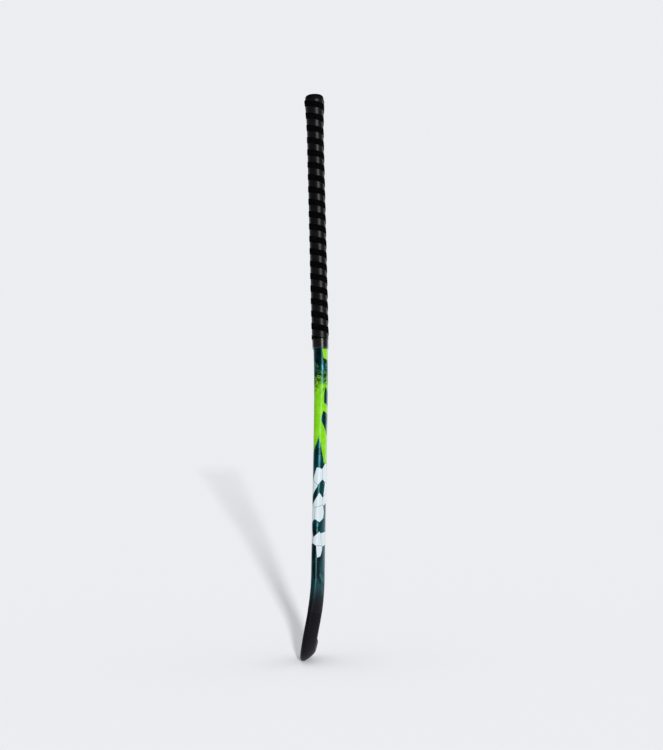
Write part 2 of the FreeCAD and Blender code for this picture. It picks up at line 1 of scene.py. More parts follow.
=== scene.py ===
"""Field hockey stick: the shapes that show, their finishes, and the studio around them.

Metres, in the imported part's frame: +Z up along the handle, -X the way the flat playing face looks,
+Y towards the toe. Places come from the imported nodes' boxes. The few sizes that a box can't give,
such as the cross-sections of the shaft, are the part's own.
"""
import logging
import math
from collections.abc import Callable, Sequence
from dataclasses import dataclass, field, replace
from enum import Enum

import bmesh
import bpy
import numpy as np
from mathutils import Matrix, Vector


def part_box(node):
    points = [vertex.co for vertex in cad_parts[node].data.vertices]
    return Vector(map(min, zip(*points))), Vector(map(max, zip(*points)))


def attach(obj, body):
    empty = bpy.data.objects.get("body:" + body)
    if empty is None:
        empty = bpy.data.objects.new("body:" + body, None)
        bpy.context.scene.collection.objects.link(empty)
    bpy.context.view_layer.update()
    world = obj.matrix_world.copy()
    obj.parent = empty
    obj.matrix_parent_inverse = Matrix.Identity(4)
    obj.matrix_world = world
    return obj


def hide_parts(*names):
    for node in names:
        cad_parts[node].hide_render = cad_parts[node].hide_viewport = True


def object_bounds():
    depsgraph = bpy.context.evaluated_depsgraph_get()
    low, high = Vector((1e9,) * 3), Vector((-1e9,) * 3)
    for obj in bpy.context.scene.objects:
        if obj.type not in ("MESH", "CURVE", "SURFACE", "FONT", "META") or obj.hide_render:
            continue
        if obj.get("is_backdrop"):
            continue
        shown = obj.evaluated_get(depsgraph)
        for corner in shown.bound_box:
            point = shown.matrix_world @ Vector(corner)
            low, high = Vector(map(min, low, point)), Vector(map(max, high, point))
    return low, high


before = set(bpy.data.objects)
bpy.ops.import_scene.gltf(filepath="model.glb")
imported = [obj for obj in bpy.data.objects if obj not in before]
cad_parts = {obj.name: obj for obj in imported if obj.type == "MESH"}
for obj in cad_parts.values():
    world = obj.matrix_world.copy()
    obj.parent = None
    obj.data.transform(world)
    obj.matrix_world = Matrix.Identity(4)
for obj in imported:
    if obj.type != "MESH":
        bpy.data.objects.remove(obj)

log = logging.getLogger("hockey_stick")

BODY = "root"
MM = 0.001
TURN = 2 * math.pi
WELD = 2e-6             # points closer than this are one point
ROUND = 0.551           # Bezier handle length that draws a quarter of an ellipse
SMOOTH_ANGLE = math.radians(38)
QUARTER = [math.radians(a) for a in (0, 22.5, 45, 67.5, 90)]     # steps of a rounded corner
Colour = tuple[float, float, float, float]


def rgb(red: float, green: float, blue: float) -> Colour:
    """A plain opaque colour, in linear light."""
    return (red, green, blue, 1.0)


# ---- bench: the ways a piece is shaped ----

class Bench:
    """Common moves for shaping a piece."""

    @staticmethod
    def clear() -> None:
        """Deselect everything and leave edit mode."""
        if bpy.context.object and bpy.context.object.mode == "EDIT":
            bpy.ops.object.mode_set(mode="OBJECT")
        bpy.ops.object.select_all(action="DESELECT")

    @staticmethod
    def outline(name: str, points: Sequence[tuple[float, float]], closed: bool) -> bpy.types.Object:
        """Draw a profile beside the axis as a ring primitive whose points are set one by one.

        Args:
            name: the piece's name.
            points: (radius, height) of each point, in metres.
            closed: False leaves the last side open.

        Returns:
            The profile, standing in the XZ plane.
        """
        Bench.clear()
        bpy.ops.mesh.primitive_circle_add(vertices=len(points), radius=MM)
        piece = bpy.context.object
        piece.name = piece.data.name = name
        for vertex, (radius, height) in zip(piece.data.vertices, points):
            vertex.co = (radius, 0, height)
        if not closed:
            bpy.ops.object.mode_set(mode="EDIT")
            mesh = bmesh.from_edit_mesh(piece.data)
            mesh.verts.ensure_lookup_table()
            last = mesh.edges.get((mesh.verts[0], mesh.verts[-1]))
            bpy.ops.mesh.select_mode(type="EDGE")
            for edge in mesh.edges:
                edge.select = edge is last
            bpy.ops.mesh.delete(type="EDGE")
            bpy.ops.object.mode_set(mode="OBJECT")
        return piece

    @staticmethod
    def modify(piece: bpy.types.Object, kind: str, **settings: object) -> None:
        """Add a modifier with these settings and apply it.

        Args:
            piece: what is changed.
            kind: the modifier's type.
            settings: the modifier's properties.
        """
        Bench.clear()
        bpy.context.view_layer.objects.active = piece
        piece.select_set(True)
        modifier = piece.modifiers.new(kind.lower(), kind)
        for key, value in settings.items():
            setattr(modifier, key, value)
        bpy.ops.object.modifier_apply(modifier=modifier.name)

    @staticmethod
    def turn(piece: bpy.types.Object, turns: int, steps: int, drop: float) -> None:
        """Screw a profile round the Z axis.

        Args:
            piece: the profile.
            turns: whole turns.
            steps: steps in one turn.
            drop: how far one turn goes down, 0 for a ring.
        """
        Bench.modify(piece, "SCREW", axis="Z", angle=TURN, screw_offset=-drop, iterations=turns,
                     steps=steps, render_steps=steps, use_merge_vertices=False)

    @staticmethod
    def edit(piece: bpy.types.Object) -> None:
        """Open a piece in edit mode with all of it selected.

        Args:
            piece: the piece.
        """
        Bench.clear()
        bpy.context.view_layer.objects.active = piece
        piece.select_set(True)
        bpy.ops.object.mode_set(mode="EDIT")
        bpy.ops.mesh.select_mode(type="VERT")
        bpy.ops.mesh.select_all(action="SELECT")

    @staticmethod
    def close(piece: bpy.types.Object, fill: bool = True) -> None:
        """Weld doubles, fill open ends, and turn all faces outwards.

        Args:
            piece: the piece.
            fill: False leaves open ends open.
        """
        Bench.edit(piece)
        bpy.ops.mesh.remove_doubles(threshold=WELD)
        if fill:
            bpy.ops.mesh.fill_holes(sides=0)
            bpy.ops.mesh.select_all(action="SELECT")
        bpy.ops.mesh.normals_make_consistent(inside=False)
        bpy.ops.object.mode_set(mode="OBJECT")

    @staticmethod
    def cut_level(piece: bpy.types.Object, height: float, above: bool) -> None:
        """Cut off what lies above or below a height and close the cut.

        Args:
            piece: the piece.
            height: where it is cut.
            above: True takes off the upper part, False the lower.
        """
        Bench.edit(piece)
        bpy.ops.mesh.bisect(plane_co=(0, 0, height), plane_no=(0, 0, 1 if above else -1),
                            use_fill=True, clear_outer=True)
        bpy.ops.object.mode_set(mode="OBJECT")

    @staticmethod
    def smooth(piece: bpy.types.Object) -> None:
        """Shade smooth, with edges sharper than the limit kept.

        Args:
            piece: the piece.
        """
        Bench.clear()
        bpy.context.view_layer.objects.active = piece
        piece.select_set(True)
        bpy.ops.object.shade_smooth_by_angle(angle=SMOOTH_ANGLE)

    @staticmethod
    def points(piece: bpy.types.Object) -> np.ndarray:
        """All the piece's points, one row each.

        Args:
            piece: the piece.

        Returns:
            The points, in metres.
        """
        flat = np.empty(len(piece.data.vertices) * 3)
        piece.data.vertices.foreach_get("co", flat)
        return flat.reshape(-1, 3)

    @staticmethod
    def place(piece: bpy.types.Object, points: np.ndarray) -> None:
        """Move the piece's points to these places."""
        piece.data.vertices.foreach_set("co", points.astype(np.float32).ravel())
        piece.data.update()


def hand_over(piece: bpy.types.Object, material: bpy.types.Material, slot: str, *nodes: str) -> None:
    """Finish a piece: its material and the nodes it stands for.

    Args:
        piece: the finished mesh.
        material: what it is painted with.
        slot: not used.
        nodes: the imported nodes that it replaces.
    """
    piece.data.materials.clear()
    piece.data.materials.append(material)
    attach(piece, BODY)
    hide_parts(*nodes)
    low, high = Vector(piece.bound_box[0]), Vector(piece.bound_box[6])
    log.info("%s: %d faces, %s to %s", piece.name, len(piece.data.polygons),
             tuple(round(v, 4) for v in low), tuple(round(v, 4) for v in high))


# ---- shader expressions ----

class Signal:
    """One output of a shader node, to be used in Python expressions."""

    def __init__(self, recipe: "Recipe", socket: bpy.types.NodeSocket) -> None:
        """Keep the recipe that the socket belongs to."""
        self.recipe = recipe
        self.socket = socket

    def math(self, operation: str, *others: "Signal | float", swap: bool = False) -> "Signal":
        """A Math node on this signal and others; swap puts this one second.

        Args:
            operation: what the node works out.
            others: its other values.
            swap: True reverses the order of the values.

        Returns:
            The result.
        """
        values = [self, *others]
        if swap:
            values.reverse()
        return self.recipe.node("ShaderNodeMath", {"operation": operation}, dict(enumerate(values)))

    def __add__(self, other: "Signal | float") -> "Signal":
        """This plus other."""
        return self.math("ADD", other)

    __radd__ = __add__

    def __mul__(self, other: "Signal | float") -> "Signal":
        """This times other."""
        return self.math("MULTIPLY", other)

    __rmul__ = __mul__

    def __sub__(self, other: "Signal | float") -> "Signal":
        """This less other."""
        return self.math("SUBTRACT", other)

    def __rsub__(self, other: float) -> "Signal":
        """Other less this."""
        return self.math("SUBTRACT", other, swap=True)

    def __truediv__(self, other: "Signal | float") -> "Signal":
        """This over other."""
        return self.math("DIVIDE", other)

    def __pow__(self, power: float) -> "Signal":
        """This to a power."""
        return self.math("POWER", power)

    def __gt__(self, other: "Signal | float") -> "Signal":
        """1 where this is above other, else 0."""
        return self.math("GREATER_THAN", other)

    def __lt__(self, other: "Signal | float") -> "Signal":
        """1 where this is below other, else 0."""
        return self.math("LESS_THAN", other)

    def lower(self, other: "Signal | float") -> "Signal":
        """The lower of the two."""
        return self.math("MINIMUM", other)

    def higher(self, other: "Signal | float") -> "Signal":
        """The higher of the two."""
        return self.math("MAXIMUM", other)

    def ease(self, start: float, end: float) -> "Signal":
        """0 before start, 1 after end, and smooth between."""
        return self.recipe.node("ShaderNodeMapRange", {"interpolation_type": "SMOOTHSTEP"},
                                {"Value": self, "From Min": start, "From Max": end})


class Recipe:
    """A material under construction."""

    def __init__(self, name: str) -> None:
        """Start from a plain surface."""
        self.material = bpy.data.materials.new(name)
        self.material.use_nodes = True
        self.tree = self.material.node_tree
        self.shader = self.tree.nodes["Principled BSDF"]
        self.coordinates: dict[str, Signal] = {}

    def node(self, kind: str, settings: dict[str, object], inputs: dict[int | str, object],
             output: int | str = 0) -> Signal:
        """Add a node.

        Args:
            kind: the node's type.
            settings: its properties, set first; "stops" gives a ramp's (place, colour) pairs.
            inputs: what each socket gets, by name or number: a value or a signal.
            output: the socket that is used.

        Returns:
            The chosen output.
        """
        made = self.tree.nodes.new(kind)
        for key, value in settings.items():
            if key == "stops":
                self.set_stops(made, value)
            else:
                setattr(made, key, value)
        for key, value in inputs.items():
            self.plug(made.inputs[key], value)
        return Signal(self, made.outputs[output])

    @staticmethod
    def set_stops(ramp: bpy.types.Node, stops: list[tuple[float, Colour]]) -> None:
        """Give a ramp its stops.

        Args:
            ramp: the ramp.
            stops: place and colour of each stop.
        """
        elements = ramp.color_ramp.elements
        while len(elements) < len(stops):
            elements.new(0.5)
        for element, (place, colour) in zip(elements, stops):
            element.position = place
            element.color = colour

    def plug(self, socket: bpy.types.NodeSocket, value: object) -> None:
        """Link a signal to a socket, or set a value on it.

        Args:
            socket: the input.
            value: a signal or a value.
        """
        if isinstance(value, Signal):
            self.tree.links.new(value.socket, socket)
        else:
            socket.default_value = value

    def surface(self, **sockets: object) -> None:
        """Feed the shader's sockets; a name's underscores stand for spaces."""
        for name, value in sockets.items():
            self.plug(self.shader.inputs[name.replace("_", " ")], value)

    def coordinate(self, kind: str) -> Signal:
        """The Object or UV coordinate.

        Args:
            kind: Object or UV.

        Returns:
            The coordinate, made once in a material.
        """
        if kind not in self.coordinates:
            self.coordinates[kind] = self.node("ShaderNodeTexCoord", {}, {}, kind)
        return self.coordinates[kind]

    def axis(self, vector: Signal, name: str) -> Signal:
        """One number of a vector: X, Y or Z."""
        return self.node("ShaderNodeSeparateXYZ", {}, {0: vector}, name)

    def stretched(self, scale: tuple[float, float, float], kind: str = "Object") -> Signal:
        """The coordinate, scaled along its axes."""
        return self.node("ShaderNodeMapping", {}, {"Vector": self.coordinate(kind), "Scale": scale})

    def noise(self, scale: float, detail: float = 2.0, where: Signal | None = None) -> Signal:
        """Cloudy noise with its middle at zero; scale is in lumps per metre."""
        return self.node("ShaderNodeTexNoise", {}, {"Vector": where or self.coordinate("Object"),
                                                    "Scale": scale, "Detail": detail}) - 0.5

    def mix(self, share: Signal | float, first: object, second: object, blend: str = "MIX") -> Signal:
        """Two colours mixed."""
        return self.node("ShaderNodeMix", {"data_type": "RGBA", "blend_type": blend},
                         {0: share, 6: first, 7: second}, 2)

    def relief(self, height: Signal, depth: float, strength: float = 1.0,
               under: Signal | None = None) -> Signal:
        """A bump of this depth in metres, over another one if given.

        Args:
            height: what rises and falls.
            depth: how high a height of 1 stands, in metres.
            strength: share of the bump that is used.
            under: a bump that this one lies on.

        Returns:
            The bent normal.
        """
        inputs = {"Strength": strength, "Distance": depth, "Height": height}
        if under is not None:
            inputs["Normal"] = under
        return self.node("ShaderNodeBump", {}, inputs)


# ---- finishes of what shows ----

@dataclass(frozen=True)
class SatinLaminate:
    """Satin black lacquer over the bare laminate of the head, with light scuffs at the sole."""
    colour: Colour = rgb(0.0046, 0.0043, 0.0060)
    scuffed: Colour = rgb(0.024, 0.023, 0.025)
    roughness: float = 0.48
    scuff_height: float = 0.030

    def material(self) -> bpy.types.Material:
        """Build the material.

        Returns:
            The finished material.
        """
        recipe = Recipe("satin_laminate")
        height = recipe.axis(recipe.coordinate("Object"), "Z")
        cloud = recipe.noise(60.0, 3.0)
        grain = recipe.noise(2600.0, 2.0)
        scratches = recipe.noise(420.0, 3.0, recipe.stretched((1.0, 0.12, 2.4)))
        sole = 1.0 - height.ease(0.0, self.scuff_height)
        scuffs = (sole * scratches.ease(0.10, 0.24)) * 0.5
        recipe.surface(
            Base_Color=recipe.mix(scuffs, self.colour, self.scuffed),
            Roughness=self.roughness + cloud * 0.10 + grain * 0.10 + scuffs * 0.15,
            Normal=recipe.relief(grain, 0.00001, under=recipe.relief(cloud, 0.00006)),
            Specular_IOR_Level=0.08,
        )
        return recipe.material


@dataclass(frozen=True)
class Shard:
    """A sharp-cornered patch of the print: corners as (around, height) in mm, anticlockwise."""
    corners: tuple[tuple[float, float], ...]

    def mask(self, around: Signal, height: Signal) -> Signal:
        """1 inside the patch: the product of the inner sides of its edges.

        Args:
            around: place around the shaft, in mm.
            height: height, in mm.

        Returns:
            1 inside, 0 outside.
        """
        inside: Signal | None = None
        for (u0, v0), (u1, v1) in zip(self.corners, self.corners[1:] + self.corners[:1]):
            across = (height - v0) * (u1 - u0) - (around - u0) * (v1 - v0)
            side = across > 0.0
            inside = side if inside is None else inside * side
        return inside


@dataclass(frozen=True)
class PrintedFilm:
    """Glossy print: lime with dark shards and splatter above, deep teal facets and a pale mosaic below.

    Heights and places around the shaft are in mm. Around is measured on the surface from the middle
    of the heel edge, positive towards the back."""
    lime: Colour = rgb(0.185, 0.570, 0.003)
    lime_light: Colour = rgb(0.270, 0.640, 0.018)
    teal_black: Colour = rgb(0.0020, 0.0260, 0.0320)
    teal_deep: Colour = rgb(0.0060, 0.1150, 0.1350)
    teal_light: Colour = rgb(0.0150, 0.1800, 0.2000)
    pale: Colour = rgb(0.63, 0.71, 0.73)
    pale_shade: Colour = rgb(0.52, 0.61, 0.645)
    black: Colour = rgb(0.0046, 0.0045, 0.0060)
    facet: float = 18.0         # size of a facet
    chip: float = 13.0          # size of a pale chip
    squat: float = 0.62         # width of a cell over its height
    chip_share: float = 0.68    # how many cells of the mosaic are pale
    joint: float = 0.014        # gap between chips, as a share of a cell
    tip_height: float = 358.5   # top of the dark point that runs up into the lime
    tip_around: float = 2.0
    lime_bottom: float = 317.0
    lime_top: float = 449.0
    mosaic: tuple[float, float] = (171.0, 307.0)
    face_side: tuple[float, float] = (-52.0, -9.0)      # around, where the playing face looks
    fade: tuple[float, float] = (84.0, 158.0)
    shards: tuple[Shard, ...] = (
        Shard(((7.5, 432.0), (8.0, 415.0), (23.0, 408.0), (23.0, 426.0), (10.5, 441.0))),
        Shard(((3.5, 387.0), (19.0, 361.0), (23.0, 395.0), (7.0, 402.0))),
        Shard(((33.0, 446.0), (38.0, 424.0), (41.0, 439.0))),
        Shard(((36.0, 380.0), (43.0, 361.0), (46.0, 386.0))),
        Shard(((-44.0, 435.0), (-38.0, 403.0), (-30.0, 425.0), (-33.0, 450.0))),
        Shard(((-29.0, 397.0), (-24.0, 361.0), (-14.0, 383.0), (-20.0, 407.0))),
    )
    patch: Shard = Shard(((5.5, 488.0), (17.0, 484.0), (17.0, 504.4), (3.0, 504.4)))

    def material(self) -> bpy.types.Material:
        """Build the material.

        Returns:
            The finished material.
        """
        recipe = Recipe("printed_film")
        sheet = recipe.coordinate("UV")
        around = recipe.axis(sheet, "X") * (1 / MM)
        height = recipe.axis(sheet, "Y") * (1 / MM)
        speckle = recipe.noise(1500.0, 2.0)
        blots = recipe.noise(150.0, 4.0)
        dark = self.facets(recipe)
        lime_mask = self.lime_cover(recipe, around, height, speckle, blots)
        lime = recipe.mix((blots * 2.0 + 0.5).ease(0.2, 1.1), self.lime, self.lime_light)
        colour = recipe.mix(lime_mask, dark, lime)
        pale_mask, pale = self.pale_mosaic(recipe, around, height)
        colour = recipe.mix(pale_mask, colour, pale)
        ink = (height + speckle * 46.0).ease(*self.fade)
        colour = recipe.mix(ink, self.black, colour)
        printed = lime_mask.higher(pale_mask)
        metal = (1.0 - printed) * ink * 0.92
        peel = recipe.noise(330.0, 1.0)
        recipe.surface(
            Base_Color=colour,
            Metallic=metal,
            Roughness=0.46 - ink * 0.16 + speckle * 0.06,
            Coat_Weight=ink * 0.45,
            Coat_Roughness=0.15,
            Specular_IOR_Level=0.12,
            Normal=recipe.relief(peel, 0.000012, under=recipe.relief(speckle, 0.000004)),
        )
        return recipe.material

    def facets(self, recipe: Recipe) -> Signal:
        """Dark teal ground broken into flat, sharp-edged facets of uneven tone.

        Args:
            recipe: the material.

        Returns:
            The colour.
        """
        scale = 1 / (self.facet * MM)
        coarse = self.cells(recipe, scale, "Color")
        fine = self.cells(recipe, scale * 2.3, "Color")
        tone = recipe.axis(coarse, "X") * 0.62 + recipe.axis(fine, "Y") * 0.38
        return recipe.node("ShaderNodeValToRGB", {"stops": [
            (0.12, self.teal_black), (0.45, self.teal_deep), (0.62, self.teal_black),
            (0.90, self.teal_light)]}, {0: tone})

    def cells(self, recipe: Recipe, scale: float, output: str, feature: str = "F1") -> Signal:
        """Flat cells with straight edges, drawn on the unrolled film and a little taller than wide.

        Args:
            recipe: the material.
            scale: cells in a metre.
            output: what is read of a cell.
            feature: the kind of cell.

        Returns:
            The chosen output.
        """
        settings = {"voronoi_dimensions": "2D", "feature": feature}
        where = recipe.stretched((1.0, self.squat, 1.0), "UV")
        return recipe.node("ShaderNodeTexVoronoi", settings, {"Vector": where, "Scale": scale}, output)

    def lime_cover(self, recipe: Recipe, around: Signal, height: Signal, speckle: Signal,
                   blots: Signal) -> Signal:
        """1 where the lime shows: a solid field, splattered away at the top and pointed below.

        Args:
            recipe: not used.
            around: place around the shaft, in mm.
            height: height, in mm.
            speckle: fine noise.
            blots: coarse noise.

        Returns:
            1 where it shows, 0 elsewhere.
        """
        left = (self.tip_around - around) * 2.2
        right = (around - self.tip_around) * 4.0
        low = (self.tip_height - left.higher(right)).higher(self.lime_bottom)
        bottom = (height - low + speckle * 20.0 + blots * 16.0) > 0.0
        loss = (height - self.lime_top) * 0.019
        top = (blots * 1.3 + speckle * 2.3) > loss
        cover = bottom * top
        for shard in self.shards:
            cover = cover * (1.0 - shard.mask(around, height))
        return cover.higher(self.patch.mask(around, height))

    def pale_mosaic(self, recipe: Recipe, around: Signal, height: Signal) -> tuple[Signal, Signal]:
        """A generic mosaic of pale, sharp-cornered chips on the heel edge and the back.

        Args:
            recipe: the material.
            around: place around the shaft, in mm.
            height: not used.

        Returns:
            Where the chips are, and their colour.
        """
        scale = 1 / (self.chip * MM)
        tile = self.cells(recipe, scale, "Color")
        centre = self.cells(recipe, scale, "Position")
        edge = self.cells(recipe, scale, "Distance", "DISTANCE_TO_EDGE")
        level = recipe.axis(centre, "Y") * (1 / (self.squat * MM))
        low, high = self.mosaic
        zone = (level > low) * (level < high)
        chosen = recipe.axis(tile, "X") < self.chip_share
        joint = edge > self.joint
        face_low, face_high = self.face_side
        off_face = (around > face_high).higher(around < face_low)
        tone = recipe.mix(recipe.axis(tile, "Y"), self.pale, self.pale_shade)
        return zone * chosen * joint * off_face, tone


@dataclass(frozen=True)
class SmoothGrip:
    """Shiny polyurethane strip."""
    colour: Colour = rgb(0.0022, 0.0022, 0.0034)

    def material(self) -> bpy.types.Material:
        """Build the material.

        Returns:
            The finished material.
        """
        recipe = Recipe("grip_smooth")
        pores = recipe.noise(1900.0, 3.0)
        hand = recipe.noise(90.0, 2.0)
        recipe.surface(
            Base_Color=recipe.mix(hand.ease(-0.1, 0.25) * 0.5, self.colour, rgb(0.0044, 0.0044, 0.0062)),
            Roughness=0.32 + hand * 0.14 + pores * 0.06,
            Specular_IOR_Level=0.34,
            Normal=recipe.relief(pores, 0.000012, under=recipe.relief(hand, 0.00008)),
        )
        return recipe.material


@dataclass(frozen=True)
class SuedeBand:
    """Matt, napped polyurethane of the raised band."""
    colour: Colour = rgb(0.0010, 0.0010, 0.0012)
    worn: Colour = rgb(0.0030, 0.0030, 0.0033)

    def material(self) -> bpy.types.Material:
        """Build the material.

        Returns:
            The finished material.
        """
        recipe = Recipe("grip_suede")
        nap = recipe.noise(3200.0, 3.0)
        patches = recipe.noise(140.0, 3.0)
        recipe.surface(
            Base_Color=recipe.mix((patches + nap * 0.5).ease(-0.05, 0.35), self.colour, self.worn),
            Roughness=0.92 + nap * 0.12,
            Specular_IOR_Level=0.03,
            Normal=recipe.relief(nap, 0.00009),
        )
        return recipe.material


@dataclass(frozen=True)
class GlossTape:
    """Glossy black tape, drawn tight, with slight stretch marks."""
    colour: Colour = rgb(0.0050, 0.0052, 0.0062)

    def material(self) -> bpy.types.Material:
        """Build the material.

        Returns:
            The finished material.
        """
        recipe = Recipe("collar_tape")
        stretch = recipe.noise(120.0, 2.0, recipe.stretched((1.0, 1.0, 5.0)))
        dust = recipe.noise(2400.0, 2.0)
        recipe.surface(
            Base_Color=recipe.mix(dust.ease(0.1, 0.3) * 0.4, self.colour, rgb(0.012, 0.012, 0.013)),
            Roughness=0.24 + stretch * 0.10 + dust * 0.04,
            Coat_Weight=0.6,
            Coat_Roughness=0.18,
            Normal=recipe.relief(stretch, 0.00010, under=recipe.relief(dust, 0.000006)),
        )
        return recipe.material


@dataclass(frozen=True)
class CapRubber:
    """Moulded rubber of the end cap, with faint dusty patches."""
    colour: Colour = rgb(0.0016, 0.0016, 0.0020)
    dusty: Colour = rgb(0.0048, 0.0048, 0.0054)

    def material(self) -> bpy.types.Material:
        """Build the material.

        Returns:
            The finished material.
        """
        recipe = Recipe("cap_rubber")
        grain = recipe.noise(2100.0, 3.0)
        cloud = recipe.noise(170.0, 3.0)
        recipe.surface(
            Base_Color=recipe.mix((cloud + grain * 0.6).ease(0.0, 0.5), self.colour, self.dusty),
            Roughness=0.58 + grain * 0.14,
            Specular_IOR_Level=0.10,
            Normal=recipe.relief(grain, 0.00003, under=recipe.relief(cloud, 0.00006)),
        )
        return recipe.material


# ---- finishes of what lies inside ----

class Build(Enum):
    """What a hidden layer is made like."""
    FOAM = "foam"
    WEAVE = "weave"
    STRANDS = "strands"
    MOULDED = "moulded"


@dataclass(frozen=True)
class Inside:
    """The finish of a layer that lies inside the stick."""
    name: str
    build: Build
    colour: Colour
    shade: Colour
    scale: float            # cells, threads or grains in a metre
    roughness: float
    depth: float            # relief in metres

    def pattern(self, recipe: Recipe) -> Signal:
        """The layer's own structure, from 0 to 1.

        Args:
            recipe: the material.

        Returns:
            The structure.
        """
        if self.build is Build.FOAM:
            return recipe.node("ShaderNodeTexVoronoi", {}, {"Vector": recipe.coordinate("Object"),
                                                            "Scale": self.scale}, "Distance")
        if self.build is Build.STRANDS:
            return recipe.noise(self.scale, 3.0, recipe.stretched((1.0, 1.0, 0.03))) + 0.5
        if self.build is Build.WEAVE:
            place = recipe.coordinate("Object")
            up = recipe.axis(place, "Z") * (self.scale * TURN)
            side = (recipe.axis(place, "X") + recipe.axis(place, "Y")) * (self.scale * TURN)
            return (up + side).math("SINE") * (up - side).math("SINE") * 0.5 + 0.5
        return recipe.noise(self.scale, 4.0) + 0.5

    def material(self) -> bpy.types.Material:
        """Build the material.

        Returns:
            The finished material.
        """
        recipe = Recipe(self.name)
        structure = self.pattern(recipe)
        cloud = recipe.noise(70.0, 3.0)
        recipe.surface(
            Base_Color=recipe.mix((structure + cloud * 0.6).ease(0.1, 0.9), self.shade, self.colour),
            Roughness=self.roughness + cloud * 0.10,
            Normal=recipe.relief(structure, self.depth),
        )
        return recipe.material


TUBE = Inside("heel_tube_laminate", Build.WEAVE, rgb(0.055, 0.056, 0.060),
              rgb(0.018, 0.018, 0.020), 250.0, 0.38, 0.00008)
ROD = Inside("heel_rod_foam", Build.FOAM, rgb(0.80, 0.77, 0.70),
             rgb(0.58, 0.54, 0.46), 700.0, 0.90, 0.00020)
ROVING = Inside("face_roving", Build.STRANDS, rgb(0.72, 0.74, 0.66),
                rgb(0.46, 0.48, 0.40), 2200.0, 0.45, 0.00008)
INSIDE = {
    "head_reinforcement": Inside("fibre_lining", Build.WEAVE, rgb(0.58, 0.44, 0.12),
                                 rgb(0.30, 0.21, 0.05), 330.0, 0.42, 0.00012),
    "head_core": Inside("core_block", Build.FOAM, rgb(0.62, 0.56, 0.44),
                        rgb(0.42, 0.36, 0.26), 520.0, 0.85, 0.00025),
    "heel_core_tube": TUBE,
    "toe_core_tube": replace(TUBE, name="toe_tube_laminate"),
    "heel_foam_rod": ROD,
    "toe_foam_rod": replace(ROD, name="toe_rod_foam"),
    "face_gap_filler": ROVING,
    "back_gap_filler": replace(ROVING, name="back_roving"),
    "butt_plug": Inside("moulded_plug", Build.MOULDED, rgb(0.10, 0.10, 0.105),
                        rgb(0.05, 0.05, 0.052), 900.0, 0.60, 0.00003),
    "cushion_underlay": Inside("cushion_foam", Build.FOAM, rgb(0.050, 0.050, 0.052),
                               rgb(0.018, 0.018, 0.019), 1100.0, 0.92, 0.00016),
    "flare_ring": Inside("build_up_foam", Build.FOAM, rgb(0.060, 0.060, 0.062),
                         rgb(0.024, 0.024, 0.025), 800.0, 0.88, 0.00014),
    "double_sided_tape": Inside("adhesive_tape", Build.WEAVE, rgb(0.74, 0.70, 0.58),
                                rgb(0.60, 0.55, 0.42), 800.0, 0.55, 0.00005),
}


def dress_inside() -> None:
    """Give each hidden node its own material."""
    for name, finish in INSIDE.items():
        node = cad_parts[name]
        material = finish.material()
        if not node.material_slots:
            node.data.materials.append(material)
        for slot in node.material_slots:
            slot.material = material
        log.info("%s: dressed as %s", name, finish.name)


# ---- the moulded stick ----

@dataclass(frozen=True)
class Section:
    """A cross-section in mm: u runs from the heel side to the toe side, v from the face to the back."""
    width: float
    depth: float
    face_corner: float      # length of a face corner along u
    face_round: float       # depth of a face corner along v
    back_corner: float      # length of a back corner along u
    fullness: float         # Bezier handle length of a back corner: lower is flatter

    def blend(self, other: "Section", share: float) -> "Section":
        """The section a share of the way towards another, with an even start and end.

        Args:
            other: the other section.
            share: how far along, from 0 to 1.

        Returns:
            The section between.
        """
        ease = share * share * (3 - 2 * share)
        pairs = zip(vars(self).values(), vars(other).values())
        return Section(*(a + (b - a) * ease for a, b in pairs))

    def grown(self, by: float) -> "Section":
        """The same section, drawn outwards by a thickness."""
        return Section(self.width + 2 * by, self.depth + 2 * by, self.face_corner + by,
                       self.face_round + by, self.back_corner + by, self.fullness)

    def half(self, counts: "Counts") -> list[tuple[float, float]]:
        """Points of the toe half, from the middle of the face to the middle of the back.

        Args:
            counts: how many sides each stretch has.

        Returns:
            The points as (u, v), in mm.
        """
        face, back, edge = -self.depth / 2, self.depth / 2, self.width / 2
        face_flat, back_flat = edge - self.face_corner, edge - self.back_corner
        shoulder = face + self.face_round
        runs = [
            (counts.face, [(0, face), (face_flat, face)]),
            (counts.face_corner, [(face_flat, face), (face_flat + ROUND * self.face_corner, face),
                                  (edge, shoulder - ROUND * self.face_round), (edge, shoulder)]),
            (counts.back_corner, [(edge, shoulder), (edge, shoulder + self.fullness * (back - shoulder)),
                                  (back_flat + self.fullness * self.back_corner, back),
                                  (back_flat, back)]),
            (counts.back, [(back_flat, back), (0, back)]),
        ]
        points = [(0.0, face)]
        for count, poles in runs:
            points += [curve_point(poles, i / count) for i in range(1, count + 1)]
        return points


@dataclass(frozen=True)
class Counts:
    """How many sides each stretch of half a cross-section is drawn with."""
    face: int = 3
    face_corner: int = 8
    back_corner: int = 14
    back: int = 3

    def edge(self) -> int:
        """Place of the edge's outermost point in half a section."""
        return self.face + self.face_corner


def curve_point(poles: list[tuple[float, float]], share: float) -> tuple[float, float]:
    """A point on a Bezier curve, by repeated halving of its poles.

    Args:
        poles: the curve's poles.
        share: how far along, from 0 to 1.

    Returns:
        The point.
    """
    points = poles
    while len(points) > 1:
        points = [(a[0] + (b[0] - a[0]) * share, a[1] + (b[1] - a[1]) * share)
                  for a, b in zip(points, points[1:])]
    return points[0]


